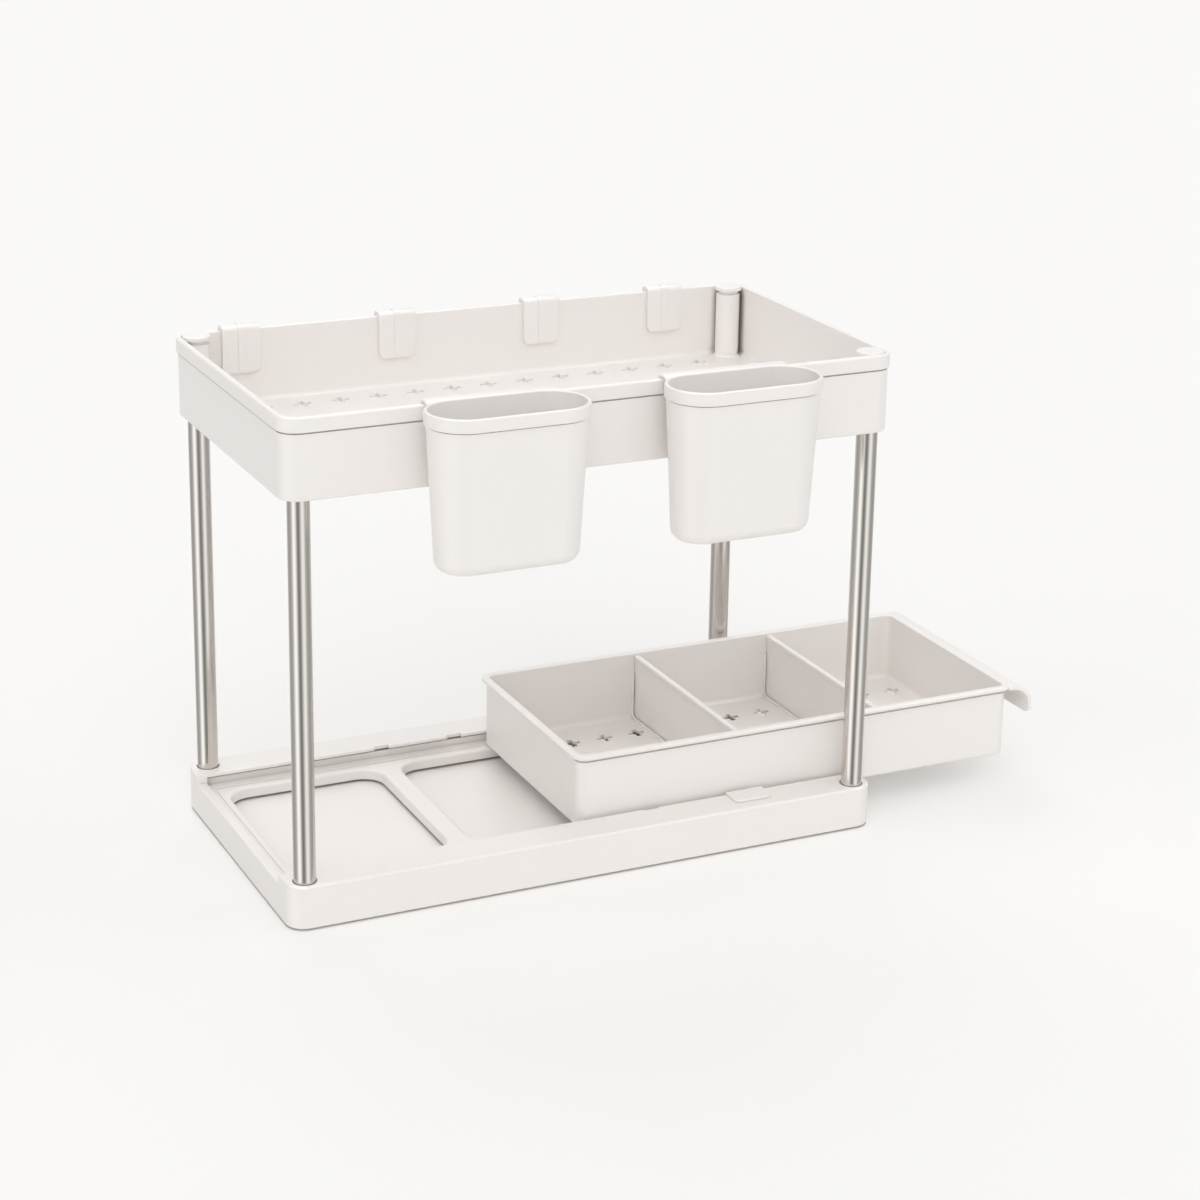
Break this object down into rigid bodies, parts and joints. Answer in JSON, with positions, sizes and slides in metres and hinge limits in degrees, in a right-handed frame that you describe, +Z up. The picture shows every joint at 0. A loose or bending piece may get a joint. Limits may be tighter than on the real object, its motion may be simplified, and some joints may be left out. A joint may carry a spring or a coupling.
{
  "type": "two-tier cabinet organizer",
  "caption": "Two-tier under-sink organizer: base with rails, steel poles, upper tray with hanging cups and rim hooks, and a pull-out drawer with loose dividers.",
  "frame": {"origin": "on the floor under the middle of the base, on the foot of the middle rib", "axes": "+X along the length towards the drawer's handle, -Y the side the cups hang on, +Z up"},
  "size_m": [0.524, 0.2732, 0.3133],
  "materials": {
    "cream_plastic": "satin moulded",
    "brushed_steel": "brushed around"
  },
  "bodies": {
    "stand": {"base_frame": "cream_plastic", "pole_near_left": "brushed_steel", "pole_far_left": "brushed_steel", "pole_near_right": "brushed_steel", "pole_far_right": "brushed_steel", "upper_tray": "cream_plastic", "cap_near_left": "cream_plastic", "cap_far_left": "cream_plastic", "cap_near_right": "cream_plastic", "cap_far_right": "cream_plastic", "blank_badge": "cream_plastic"},
    "cup_1": {"hanging_cup_1": "cream_plastic"},
    "cup_2": {"hanging_cup_2": "cream_plastic"},
    "hook_1": {"rim_hook_1": "cream_plastic"},
    "hook_2": {"rim_hook_2": "cream_plastic"},
    "hook_3": {"rim_hook_3": "cream_plastic"},
    "hook_4": {"rim_hook_4": "cream_plastic"},
    "drawer_box": {"drawer": "cream_plastic"},
    "divider_1": {"drawer_divider_1": "cream_plastic"},
    "divider_2": {"drawer_divider_2": "cream_plastic"}
  },
  "joints": [
    {"name": "drawer_slide", "type": "slide", "parent": "stand", "child": "drawer_box", "axis": [1, 0, 0], "range_m": [-0.1325, 0.121]},
    {"name": "divider_1_lift", "type": "slide", "parent": "drawer_box", "child": "divider_1", "axis": [0, 0, 1], "range_m": [0, 0.05]},
    {"name": "divider_2_lift", "type": "slide", "parent": "drawer_box", "child": "divider_2", "axis": [0, 0, 1], "range_m": [0, 0.05]},
    {"name": "cup_1_lift", "type": "slide", "parent": "stand", "child": "cup_1", "axis": [0, 0, 1], "range_m": [0, 0.03]},
    {"name": "cup_2_lift", "type": "slide", "parent": "stand", "child": "cup_2", "axis": [0, 0, 1], "range_m": [0, 0.03]},
    {"name": "hook_1_lift", "type": "slide", "parent": "stand", "child": "hook_1", "axis": [0, 0, 1], "range_m": [0, 0.035]},
    {"name": "hook_2_lift", "type": "slide", "parent": "stand", "child": "hook_2", "axis": [0, 0, 1], "range_m": [0, 0.035]},
    {"name": "hook_3_lift", "type": "slide", "parent": "stand", "child": "hook_3", "axis": [0, 0, 1], "range_m": [0, 0.035]},
    {"name": "hook_4_lift", "type": "slide", "parent": "stand", "child": "hook_4", "axis": [0, 0, 1], "range_m": [0, 0.035]}
  ]
}
